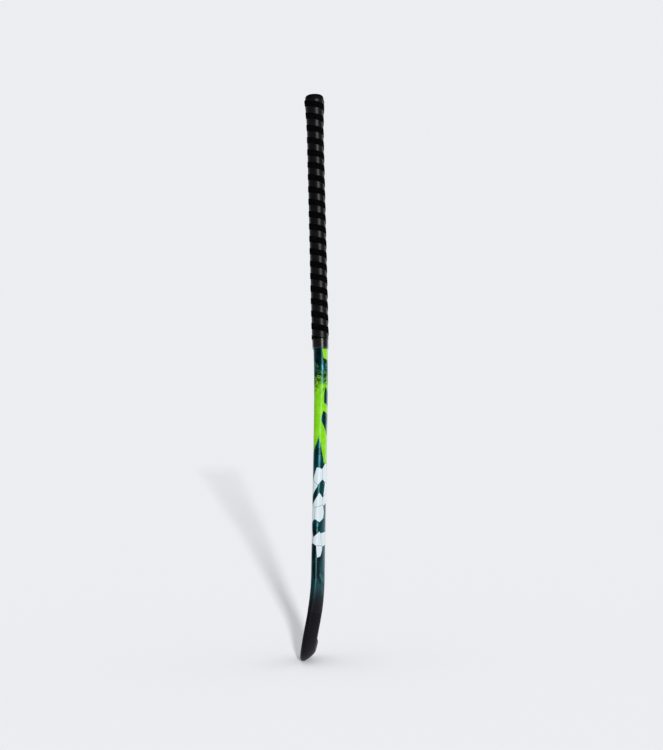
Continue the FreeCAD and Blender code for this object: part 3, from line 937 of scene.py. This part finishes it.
@dataclass(frozen=True)
class Bow:
    """The centre line of the stick, in mm: the slope changes evenly from knot to knot."""
    knots: tuple[tuple[float, float], ...]      # height and lean in degrees, from the top down

    def at(self, height: float) -> tuple[float, float]:
        """Sideways place and lean, in radians, at a height.

        Args:
            height: the height, in mm.

        Returns:
            The place in mm and the lean in radians.
        """
        place, slope = 0.0, 0.0
        for (high, lean_high), (low, lean_low) in zip(self.knots, self.knots[1:]):
            steep_high = math.tan(math.radians(lean_high))
            steep_low = math.tan(math.radians(lean_low))
            stop = max(min(height, high), low)
            slope_here = steep_high + (steep_low - steep_high) * (high - stop) / (high - low)
            place -= (steep_high + slope_here) / 2 * (high - stop)
            if height < high:
                slope = slope_here
        return place, math.atan(slope)


@dataclass
class Blank:
    """The moulded stick: its laminate shell and the printed film on the shaft. Sizes in mm."""
    straight_run: float = 5.0
    waist_height: float = 330.0
    neck_height: float = 135.0
    head_lean: float = 12.7
    hook_radius: float = 41.0
    hook_angle: float = 125.0
    shell_wall: float = 2.4
    film_thickness: float = 0.25
    film_bottom: float = 78.0
    film_taper: float = 3.0
    step: float = 7.0
    hook_steps: int = 22
    toe_steps: int = 18
    counts: Counts = field(default_factory=Counts)
    handle: Section = Section(28.3, 22.3, 11.15, 11.15, 11.15, ROUND)
    waist: Section = Section(40.0, 20.8, 8.0, 7.0, 14.0, 0.5)
    neck: Section = Section(45.0, 21.0, 6.5, 6.0, 17.5, 0.4)
    head: Section = Section(46.0, 22.4, 5.5, 5.0, 19.5, 0.27)

    def __post_init__(self) -> None:
        """Find the handle's axis, the head's height and the centre line."""
        low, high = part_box("butt_plug")
        self.axis = (low + high) / 2
        self.shell_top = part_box("outer_shell")[1].z / MM
        self.film_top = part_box("graphic_film")[1].z / MM
        self.handle_height = self.film_top - self.straight_run
        self.head_top = self.find_head_top()
        self.bow = Bow(((self.handle_height, 0.0), (400.0, 2.3), (self.neck_height, 2.4),
                        (self.head_top, self.head_lean)))

    def find_head_top(self) -> float:
        """Height where the hook starts, so that the head's lowest point is at zero.

        Returns:
            The height, in mm.
        """
        lean = math.radians(self.head_lean)
        reach = [(self.hook_radius + u) * math.cos(lean) + v * math.sin(lean)
                 for u, v in self.head.half(self.counts)]
        return max(reach)

    def section_at(self, height: float) -> Section:
        """The cross-section at a height.

        Args:
            height: the height, in mm.

        Returns:
            The section.
        """
        stations = [(self.handle_height, self.handle), (self.waist_height, self.waist),
                    (self.neck_height, self.neck), (self.head_top, self.head)]
        if height >= self.handle_height:
            return self.handle
        for (high, upper), (low, lower) in zip(stations, stations[1:]):
            if height >= low:
                return upper.blend(lower, (high - height) / (high - low))
        return self.head

    def across(self, height: float) -> tuple[Vector, Vector, Vector]:
        """Centre, u direction and v direction of the cross-section at a height, in metres.

        Args:
            height: the height, in mm.

        Returns:
            The centre and both directions.
        """
        place, lean = self.bow.at(height)
        centre = Vector((self.axis.x + place * MM, self.axis.y, height * MM))
        return centre, Vector((0, 1, 0)), Vector((math.cos(lean), 0, -math.sin(lean)))

    def ring(self, height: float, grown: float) -> tuple[np.ndarray, np.ndarray]:
        """Points round the stick from the toe edge by the face to the heel edge and the back.

        Args:
            height: the height, in mm.
            grown: how far they stand off the blank, in mm.

        Returns:
            The points, in metres, and how far round each is from the heel edge.
        """
        half = self.section_at(height).grown(grown).half(self.counts)
        edge = self.counts.edge()
        mirrored = [(-u, v) for u, v in half]
        loop = half[edge::-1] + mirrored[1:] + half[-2:edge - 1:-1]
        centre, along_u, along_v = self.across(height)
        points = np.array([centre + along_u * (u * MM) + along_v * (v * MM) for u, v in loop])
        lengths = np.linalg.norm(np.diff(points, axis=0), axis=1)
        around = np.concatenate([[0.0], np.cumsum(lengths)])
        return points, around - around[2 * edge]

    def skin(self, name: str, heights: list[float], grown: Callable[[float], float]) -> bpy.types.Object:
        """A sheet laid round the shaft from a flat grid, welded along the toe edge.

        Args:
            name: the piece's name.
            heights: heights of its rings, from the top down.
            grown: how far it stands off the blank at a height.

        Returns:
            The open tube, with a UV map of true lengths.
        """
        rings = [self.ring(height, grown(height)) for height in heights]
        columns = len(rings[0][0])
        Bench.clear()
        bpy.ops.mesh.primitive_grid_add(x_subdivisions=columns - 1, y_subdivisions=len(rings) - 1)
        piece = bpy.context.object
        piece.name = piece.data.name = name
        flat = np.rint((Bench.points(piece)[:, :2] + 1) / 2 * [columns - 1, len(rings) - 1]).astype(int)
        Bench.place(piece, np.array([rings[row][0][column] for column, row in flat]))
        layer = piece.data.uv_layers[0].data
        for loop in piece.data.loops:
            column, row = flat[loop.vertex_index]
            layer[loop.index].uv = (rings[row][1][column], heights[row] * MM)
        Bench.close(piece, fill=False)
        first = piece.data.polygons[0]
        if first.normal.dot(first.center - self.across(heights[0])[0]) < 0:
            Bench.edit(piece)
            bpy.ops.mesh.flip_normals()
            bpy.ops.object.mode_set(mode="OBJECT")
        return piece

    def heights(self, top: float, bottom: float) -> list[float]:
        """Ring heights from top to bottom, close together on the shaped shaft.

        Args:
            top: the highest, in mm.
            bottom: the lowest, in mm.

        Returns:
            The heights, from the top down.
        """
        shaped = min(top, self.handle_height)
        count = math.ceil((shaped - bottom) / self.step)
        run = [shaped + (bottom - shaped) * i / count for i in range(count + 1)]
        if top > shaped:
            run = [top, top - self.step] + [shaped + self.step] + run
        return run

    def build_shell(self) -> bpy.types.Object:
        """The laminate shell: a grid round the shaft, spun through the hook and round the toe.

        Returns:
            The shell.
        """
        piece = self.skin("stick_shell", self.heights(self.shell_top, self.head_top), lambda height: 0.0)
        centre, along_u, along_v = self.across(self.head_top)
        pivot = centre + along_u * (self.hook_radius * MM)
        Bench.edit(piece)
        self.select_low_ring(piece, centre, along_u.cross(along_v))
        angle = math.radians(self.hook_angle)
        bpy.ops.mesh.spin(steps=self.hook_steps, angle=angle, center=pivot, axis=-along_v)
        swing = Matrix.Rotation(angle, 3, along_v)
        toe_centre = pivot + swing @ (centre - pivot)
        toe_u = swing @ along_u
        mesh = bmesh.from_edit_mesh(piece.data)
        for vertex in mesh.verts:
            vertex.select = vertex.select and (vertex.co - toe_centre).dot(toe_u) < WELD
        mesh.select_flush_mode()
        bmesh.update_edit_mesh(piece.data)
        bpy.ops.mesh.spin(steps=self.toe_steps, angle=math.pi, center=toe_centre, axis=-along_v)
        bpy.ops.object.mode_set(mode="OBJECT")
        Bench.close(piece, fill=False)
        Bench.modify(piece, "SUBSURF", levels=1, render_levels=1)
        Bench.modify(piece, "SOLIDIFY", thickness=self.shell_wall * MM, offset=-1.0)
        Bench.smooth(piece)
        return piece

    def select_low_ring(self, piece: bpy.types.Object, centre: Vector, normal: Vector) -> None:
        """Select the open ring at the head's start.

        Args:
            piece: the shell, in edit mode.
            centre: middle of the ring.
            normal: direction that the ring looks.
        """
        mesh = bmesh.from_edit_mesh(piece.data)
        for vertex in mesh.verts:
            vertex.select = abs((vertex.co - centre).dot(normal)) < WELD * 5
        mesh.select_flush_mode()
        bmesh.update_edit_mesh(piece.data)

    def film_stand(self, height: float) -> float:
        """How far the film stands off the blank: it runs out to nothing at its lower edge.

        Args:
            height: the height, in mm.

        Returns:
            The distance, in mm.
        """
        share = min(1.0, (height - self.film_bottom) / self.film_taper)
        return self.film_thickness * (0.1 + 0.9 * share)

    def build_film(self) -> bpy.types.Object:
        """The printed film, a thin sleeve on the shaft.

        Returns:
            The film.
        """
        run = self.heights(self.film_top, self.film_bottom + self.film_taper)
        run += [self.film_bottom + self.film_taper / 2, self.film_bottom]
        piece = self.skin("stick_print", run, self.film_stand)
        Bench.modify(piece, "SUBSURF", levels=1, render_levels=1)
        Bench.modify(piece, "SOLIDIFY", thickness=self.film_thickness * MM * 0.9, offset=-1.0)
        Bench.smooth(piece)
        return piece

    def build(self) -> None:
        """Make both pieces and hand them over."""
        hand_over(self.build_shell(), SatinLaminate().material(), "laminate", "outer_shell")
        hand_over(self.build_film(), PrintedFilm().material(), "printed_film", "graphic_film")


# ---- the grip ----

@dataclass
class Handle:
    """The slot-shaped handle that the grip's layers go round. Sizes in metres."""
    tape_thickness: float = 0.25 * MM
    flare_depth: float = 2.9 * MM
    flare_length: float = 62.0 * MM

    def __post_init__(self) -> None:
        """Take the handle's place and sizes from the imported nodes."""
        low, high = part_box("cushion_underlay")
        self.axis = (low + high) / 2
        self.grip_top = high.z
        self.underlay_radius = (high.x - low.x) / 2
        self.flat = ((high.y - low.y) - (high.x - low.x)) / 2
        self.tape_radius = self.underlay_radius + self.tape_thickness
        self.round_trip = TURN * self.tape_radius + 4 * self.flat

    def flare(self, height: np.ndarray) -> np.ndarray:
        """How far the grip stands out at a height because of the flare at the butt.

        Args:
            height: the heights, in metres.

        Returns:
            The distances, in metres.
        """
        share = (height - self.grip_top + self.flare_length) / self.flare_length
        return self.flare_depth * np.clip(share, 0, 1) ** 2

    def wrap(self, piece: bpy.types.Object, flared: bool) -> None:
        """Lay a piece that was turned round the Z axis round the handle's slot shape instead.

        A turn starts on the back side and goes by the toe side to the face.

        Args:
            piece: the piece.
            flared: True lets it follow the flare at the butt.
        """
        points = Bench.points(piece)
        radius = np.hypot(points[:, 0], points[:, 1])
        share = (np.arctan2(points[:, 1], points[:, 0]) / TURN) % 1.0
        travelled = share * self.round_trip + 2 * self.flat
        half = self.round_trip / 2
        end = np.where(travelled % self.round_trip < half, 1.0, -1.0)
        along = travelled % half
        on_flat = np.clip(along, 0, 2 * self.flat) - self.flat
        angle = np.clip(along - 2 * self.flat, 0, None) / self.tape_radius
        turned = np.where(along < 2 * self.flat, 0.0, angle)
        centre = np.where(along < 2 * self.flat, end * on_flat, end * self.flat)
        if flared:
            radius = radius + self.flare(points[:, 2])
        points[:, 0] = self.axis.x + radius * end * np.cos(turned)
        points[:, 1] = self.axis.y + centre + radius * end * np.sin(turned)
        Bench.place(piece, points)


@dataclass
class Grip:
    """The wound grip: a smooth strip with a raised matt band along it. Sizes in metres."""
    handle: Handle
    strip_thickness: float = 0.85 * MM
    band_thickness: float = 0.70 * MM
    band_width: float = 10.3 * MM
    pitch: float = 20.6 * MM
    start: float = 903.0 * MM
    seam: float = 0.3 * MM
    glue: float = 0.03 * MM
    shoulder: float = 0.34 * MM
    steps: int = 108

    def profile(self, inner: float, thickness: float, width: float, crown: float,
                middle: float) -> list[tuple[float, float]]:
        """A flat strip's section with rounded outer shoulders and a slightly crowned top.

        Args:
            inner: radius of its underside.
            thickness: how thick it is.
            width: how wide it is along the handle.
            crown: how much its middle stands above its shoulders.
            middle: height of its middle.

        Returns:
            Its points as (radius, height).
        """
        half, outer, corner = width / 2, inner + thickness - crown, self.shoulder
        points = [(inner, middle - half), (inner, middle + half)]
        for turn in QUARTER:
            points.append((outer - corner + corner * math.sin(turn),
                           middle + half - corner + corner * math.cos(turn)))
        for share in (0.66, 0.33, 0.0, -0.33, -0.66):
            points.append((outer + crown * (1 - share ** 2), middle + share * (half - corner)))
        for turn in reversed(QUARTER):
            points.append((outer - corner + corner * math.sin(turn),
                           middle - half + corner - corner * math.cos(turn)))
        return points

    def wind(self, name: str, inner: float, thickness: float, width: float, crown: float,
             middle: float) -> bpy.types.Object:
        """Wind a strip down the handle and cut its ends level with the cap and with the collar.

        Args:
            name: the piece's name.
            inner: radius of the strip's underside.
            thickness: how thick it is.
            width: how wide it is along the handle.
            crown: how much its middle stands above its shoulders.
            middle: height of its middle on the first turn.

        Returns:
            The wound strip.
        """
        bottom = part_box("finishing_tape")[1].z
        above = math.ceil((self.handle.grip_top + width - middle) / self.pitch)
        turns = above + math.ceil((middle - bottom + width) / self.pitch)
        section = self.profile(inner, thickness, width, crown, middle + above * self.pitch)
        piece = Bench.outline(name, section, closed=True)
        Bench.turn(piece, turns, self.steps, self.pitch)
        self.handle.wrap(piece, flared=True)
        Bench.close(piece)
        Bench.cut_level(piece, self.handle.grip_top, above=True)
        Bench.cut_level(piece, bottom, above=False)
        Bench.smooth(piece)
        return piece

    def build(self) -> None:
        """Make the strip and its band and hand them over."""
        strip_inner = self.handle.tape_radius + self.glue
        strip = self.wind("grip_strip_smooth", strip_inner, self.strip_thickness,
                          self.pitch - self.seam, 0.06 * MM, self.start - self.pitch / 2)
        hand_over(strip, SmoothGrip().material(), "grip_smooth", "grip_base_strip")
        band_inner = strip_inner + self.strip_thickness + self.glue
        band = self.wind("grip_band_suede", band_inner, self.band_thickness, self.band_width,
                         0.12 * MM, self.start)
        hand_over(band, SuedeBand().material(), "grip_matt", "grip_raised_band")


@dataclass
class Collar:
    """Glossy tape wound round the grip's lower end, its free end lapped over itself. Metres."""
    handle: Handle
    thickness: float = 0.6 * MM
    lip: float = 0.8 * MM
    lap: float = 0.10 * MM
    corner: float = 0.45 * MM
    cushion: float = 1.05 * MM      # thickness of the underlay that the lip turns in below
    steps: int = 128

    def build(self) -> None:
        """Make the tape and hand it over."""
        low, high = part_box("finishing_tape")
        inner = self.handle.tape_radius
        bore = self.handle.underlay_radius - self.cushion
        outer = inner + self.thickness - self.lap
        points = [(bore, low.z), (bore, low.z + self.lip), (inner, low.z + self.lip), (inner, high.z)]
        for turn in QUARTER:
            points.append((outer - self.corner * (1 - math.sin(turn)),
                           high.z - self.corner * (1 - math.cos(turn))))
        middle = (low.z + high.z) / 2
        points += [(outer + 0.04 * MM, middle + 3 * MM), (outer + 0.02 * MM, middle),
                   (outer + 0.05 * MM, middle - 3 * MM)]
        for turn in reversed(QUARTER):
            points.append((outer - self.corner * (1 - math.sin(turn)),
                           low.z + self.corner * (1 - math.cos(turn))))
        piece = Bench.outline("collar_gloss_tape", points, closed=True)
        Bench.turn(piece, 1, self.steps, 0.0)
        self.stagger(piece, outer)
        self.handle.wrap(piece, flared=False)
        Bench.close(piece)
        Bench.smooth(piece)
        hand_over(piece, GlossTape().material(), "collar_tape", "finishing_tape")

    def stagger(self, piece: bpy.types.Object, outer: float) -> None:
        """Let the outside rise evenly round the turn, so that the tape's free end makes a step.

        Args:
            piece: the tape, still round the Z axis.
            outer: its outer radius.
        """
        points = Bench.points(piece)
        radius = np.hypot(points[:, 0], points[:, 1])
        turned = np.repeat(np.arange(self.steps), len(points) // self.steps) / self.steps
        outside = radius > outer - self.corner
        grown = radius + np.where(outside, self.lap * 0.5 * turned, 0.0)
        points[:, :2] *= (grown / radius)[:, None]
        Bench.place(piece, points)


@dataclass
class EndCap:
    """Moulded rubber cap on the butt, with fine upright ribs round its shoulder. Metres."""
    handle: Handle
    crown_round: float = 6.4 * MM
    roof: float = 5.0 * MM
    wall: float = 3.95 * MM
    ribs: int = 72
    rib_depth: float = 0.28 * MM
    rib_steps: int = 6

    def build(self) -> None:
        """Make the cap and hand it over."""
        low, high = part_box("end_cap")
        outer = (high.x - low.x) / 2
        bore = outer - self.wall
        edge = outer - self.crown_round
        points = [(edge * 0.5, high.z), (edge * 0.9, high.z)]
        for i in range(17):
            turn = math.pi / 2 * i / 16
            points.append((edge + self.crown_round * math.sin(turn),
                           high.z - self.crown_round * (1 - math.cos(turn))))
        points += [(outer, low.z + 2.4 * MM), (outer, low.z + 1.2 * MM), (outer, low.z + 0.3 * MM),
                   (outer - 0.3 * MM, low.z), (bore, low.z), (bore, low.z + self.roof - 0.4 * MM),
                   (bore - 0.4 * MM, low.z + self.roof), (bore * 0.5, low.z + self.roof)]
        piece = Bench.outline("butt_cap_ribbed", points, closed=False)
        Bench.turn(piece, 1, self.ribs * self.rib_steps, 0.0)
        self.cut_ribs(piece, outer, high.z)
        self.handle.wrap(piece, flared=False)
        Bench.close(piece)
        Bench.smooth(piece)
        hand_over(piece, CapRubber().material(), "cap_rubber", "end_cap")

    def cut_ribs(self, piece: bpy.types.Object, outer: float, top: float) -> None:
        """Press fine grooves between the ribs, deepest on the shoulder.

        Args:
            piece: the cap, still round the Z axis.
            outer: its outer radius.
            top: height of its top.
        """
        points = Bench.points(piece)
        radius = np.hypot(points[:, 0], points[:, 1])
        angle = np.arctan2(points[:, 1], points[:, 0])
        down = top - points[:, 2]
        window = np.clip((down - 0.2 * MM) / (1.0 * MM), 0, 1) * np.clip((7.2 * MM - down) / (1.2 * MM), 0, 1)
        window = window * (radius > outer - self.crown_round)
        groove = np.clip(0.5 - 0.75 * np.cos(angle * self.ribs), 0, 1)
        pressed = radius - self.rib_depth * groove * window
        points[:, :2] *= np.where(radius > WELD, pressed / np.maximum(radius, WELD), 1.0)[:, None]
        Bench.place(piece, points)


# ---- studio ----

@dataclass(frozen=True)
class Strip:
    """An upright soft box that draws a highlight on the stick. Sizes and places in metres."""
    name: str
    place: tuple[float, float, float]
    aim: float              # height of what it looks at, on the stick's axis
    energy: float
    size: tuple[float, float]


@dataclass
class Studio:
    """Pale floor that rises gently behind the stick, a low sun-like key, soft boxes and the camera."""
    slope: float = math.radians(9.0)
    sole_radius: float = 0.064          # the hook's outer radius, which the floor touches
    floor_size: float = 400.0
    pale: Colour = rgb(0.838, 0.850, 0.880)
    camera_turn: float = math.radians(1.914)
    camera_roll: float = math.radians(-1.429)
    camera_pitch: float = math.radians(6.2667)
    camera_distance: float = 3.239
    camera_height: float = 0.1057
    camera_aside: float = 0.0169
    lens: float = 96.0
    floor_colour: Colour = rgb(0.816, 0.818, 0.84)
    floor_aside: float = 0.009          # from the box's middle to where the floor touches
    floor_gap: float = 0.0002
    air: Colour = rgb(0.97, 0.98, 1.0)
    air_strength: float = 0.665
    glossy_strength: float = 0.06
    key_turn: float = math.radians(8.1)
    key_rise: float = math.radians(6.7)
    key_spread: float = math.radians(2.4)
    key_energy: float = 4.5
    key_reach: float = 5.0
    strips: tuple[Strip, ...] = (
        Strip("strip_front", (1.15, -1.90, 0.75), 0.45, 28.0, (0.85, 2.2)),
        Strip("strip_right", (1.55, 1.25, 0.6), 0.5, 7.0, (1.0, 2.2)),
        Strip("strip_left", (-1.7, 1.0, 0.6), 0.5, 2.5, (0.6, 2.2)),
    )
    floor: bpy.types.Object | None = field(default=None, init=False)

    def build_floor(self) -> None:
        """A wide board, tangent to the head's sole."""
        low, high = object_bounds()
        Bench.clear()
        bpy.ops.mesh.primitive_plane_add(size=self.floor_size)
        floor = bpy.context.object
        floor.name = "floor"
        touch = (low + high) / 2
        tilt = Matrix.Rotation(self.slope, 4, "X")
        drop = self.sole_radius * (1 / math.cos(self.slope) - 1) + self.floor_gap
        floor.data.transform(Matrix.Translation((0, touch.y + self.floor_aside, low.z - drop)) @ tilt)
        recipe = Recipe("pale_floor")
        grain = recipe.noise(6.0, 3.0)
        recipe.surface(Base_Color=self.floor_colour, Roughness=0.9 + grain * 0.05,
                       Specular_IOR_Level=0.0)
        floor.data.materials.append(recipe.material)
        floor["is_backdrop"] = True
        self.floor = floor

    def build_camera(self) -> None:
        """The camera, low in front of the heel edge and looking a little up."""
        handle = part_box("butt_plug")
        base = (handle[0] + handle[1]) / 2
        base.z = 0.0
        ahead = Vector((-math.sin(self.camera_turn), math.cos(self.camera_turn), 0))
        right = Vector((math.cos(self.camera_turn), math.sin(self.camera_turn), 0))
        up = Vector((0, 0, 1))
        place = base - ahead * self.camera_distance + right * self.camera_aside
        place += up * self.camera_height
        look = ahead * math.cos(self.camera_pitch) + up * math.sin(self.camera_pitch)
        crown = up * math.cos(self.camera_pitch) - ahead * math.sin(self.camera_pitch)
        side = right * math.cos(self.camera_roll) + crown * math.sin(self.camera_roll)
        crown = crown * math.cos(self.camera_roll) - right * math.sin(self.camera_roll)
        data = bpy.data.cameras.new("camera")
        data.lens = self.lens
        camera = bpy.data.objects.new("camera", data)
        bpy.context.scene.collection.objects.link(camera)
        turn = Matrix((side, crown, -look)).transposed().to_4x4()
        camera.matrix_world = Matrix.Translation(place) @ turn
        bpy.context.scene.camera = camera

    def build_world(self) -> None:
        """Even pale surroundings that light softly, and reflect much darker than they look."""
        world = bpy.data.worlds.new("studio")
        world.use_nodes = True
        world.cycles.sampling_method = "NONE"
        bpy.context.scene.world = world
        tree = world.node_tree
        rays = tree.nodes.new("ShaderNodeLightPath")
        result = tree.nodes["Background"]
        result.inputs["Color"].default_value = self.air
        result.inputs["Strength"].default_value = self.air_strength
        for ray, colour, strength in (("Is Glossy Ray", self.air, self.glossy_strength),
                                      ("Is Camera Ray", self.pale, 1.0)):
            ground = tree.nodes.new("ShaderNodeBackground")
            ground.inputs["Color"].default_value = colour
            ground.inputs["Strength"].default_value = strength
            choice = tree.nodes.new("ShaderNodeMixShader")
            tree.links.new(rays.outputs[ray], choice.inputs[0])
            tree.links.new(result.outputs[0], choice.inputs[1])
            tree.links.new(ground.outputs[0], choice.inputs[2])
            result = choice
        tree.links.new(result.outputs[0], tree.nodes["World Output"].inputs[0])

    def add_light(self, name: str, kind: str, place: Vector, target: Vector, energy: float,
                  size: tuple[float, float], on_floor: bool) -> None:
        """Hang a lamp.

        Args:
            name: the lamp's name.
            kind: SUN or AREA.
            place: where it hangs.
            target: what it looks at.
            energy: its strength.
            size: width and height of an area lamp; a sun's angle comes first.
            on_floor: True lights the floor alone, False everything else.
        """
        data = bpy.data.lights.new(name, kind)
        data.energy = energy
        if kind == "SUN":
            data.angle = size[0]
        else:
            data.shape = "RECTANGLE"
            data.size, data.size_y = size
        lamp = bpy.data.objects.new(name, data)
        bpy.context.scene.collection.objects.link(lamp)
        receivers = bpy.data.collections.new(f"{name}_receivers")
        receivers.objects.link(self.floor)
        state = "INCLUDE" if on_floor else "EXCLUDE"
        receivers.collection_objects[0].light_linking.link_state = state
        lamp.light_linking.receiver_collection = receivers
        lamp.visible_camera = False
        lamp.location = place
        lamp.rotation_mode = "QUATERNION"
        lamp.rotation_quaternion = (target - place).to_track_quat("-Z", "Y")

    def build_lights(self) -> None:
        """The key that throws the long shadow, and the strip boxes that draw the highlights."""
        middle = Vector((0, 0, 0.5))
        key = Vector((math.sin(self.key_turn) * math.cos(self.key_rise),
                      -math.cos(self.key_turn) * math.cos(self.key_rise), math.sin(self.key_rise)))
        self.add_light("key", "SUN", middle + key * self.key_reach, middle, self.key_energy,
                       (self.key_spread, 0), True)
        for strip in self.strips:
            self.add_light(strip.name, "AREA", Vector(strip.place), Vector((0, 0, strip.aim)),
                           strip.energy, strip.size, False)

    def build(self) -> None:
        """Set up the whole studio."""
        bpy.context.scene.view_settings.view_transform = "Standard"
        self.build_world()
        self.build_floor()
        self.build_camera()
        self.build_lights()


# ---- all together ----


def main() -> None:
    """Build every piece in order, then the studio, and note the sizes."""
    logging.basicConfig(level=logging.INFO, format="%(name)s %(message)s")
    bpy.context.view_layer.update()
    Blank().build()
    handle = Handle()
    Grip(handle).build()
    Collar(handle).build()
    EndCap(handle).build()
    dress_inside()
    Studio().build()


if __name__ == "__main__":
    main()
